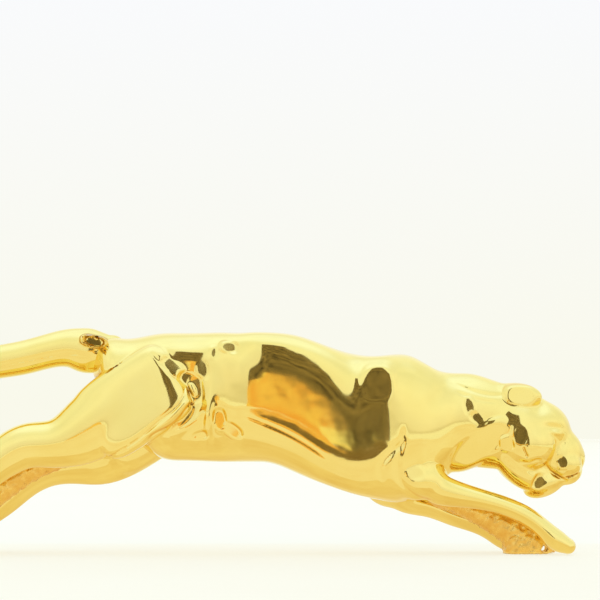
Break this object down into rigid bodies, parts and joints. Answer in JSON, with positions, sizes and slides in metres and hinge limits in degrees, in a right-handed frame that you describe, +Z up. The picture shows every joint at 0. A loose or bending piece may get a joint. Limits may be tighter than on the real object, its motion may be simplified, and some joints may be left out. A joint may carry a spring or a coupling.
{
  "type": "hood ornament",
  "caption": "Polished brass hood ornament: a running big cat at full stretch, cast hollow in halves with a separate tail, and threaded inserts between its paws for fixing studs.",
  "frame": {"origin": "mouth of the rear threaded hole, on the plane that all four paws stand on and on the cat's middle plane", "axes": "+X from the tail to the head, +Y to the cat's left, +Z up"},
  "size_m": [0.2022, 0.0345, 0.0623],
  "materials": {
    "polished_brass": "mirror polished",
    "rough_cast_brass": "rough as cast",
    "solder": "dressed flush",
    "brass_pin": "drawn",
    "insert_steel": "zinc plated",
    "dowel_steel": "ground"
  },
  "bodies": {
    "root": {"right_half_casting": "polished_brass", "left_half_casting": "polished_brass", "seam_solder": "solder", "tail_casting": "polished_brass", "tail_cross_pin": "brass_pin", "front_leg_bridge": "rough_cast_brass", "rear_leg_bridge": "rough_cast_brass", "front_thread_insert": "insert_steel", "rear_thread_insert": "insert_steel", "dowel_hip": "dowel_steel", "dowel_loin": "dowel_steel", "dowel_rib": "dowel_steel", "dowel_shoulder": "dowel_steel", "dowel_head": "dowel_steel"}
  },
  "joints": []
}
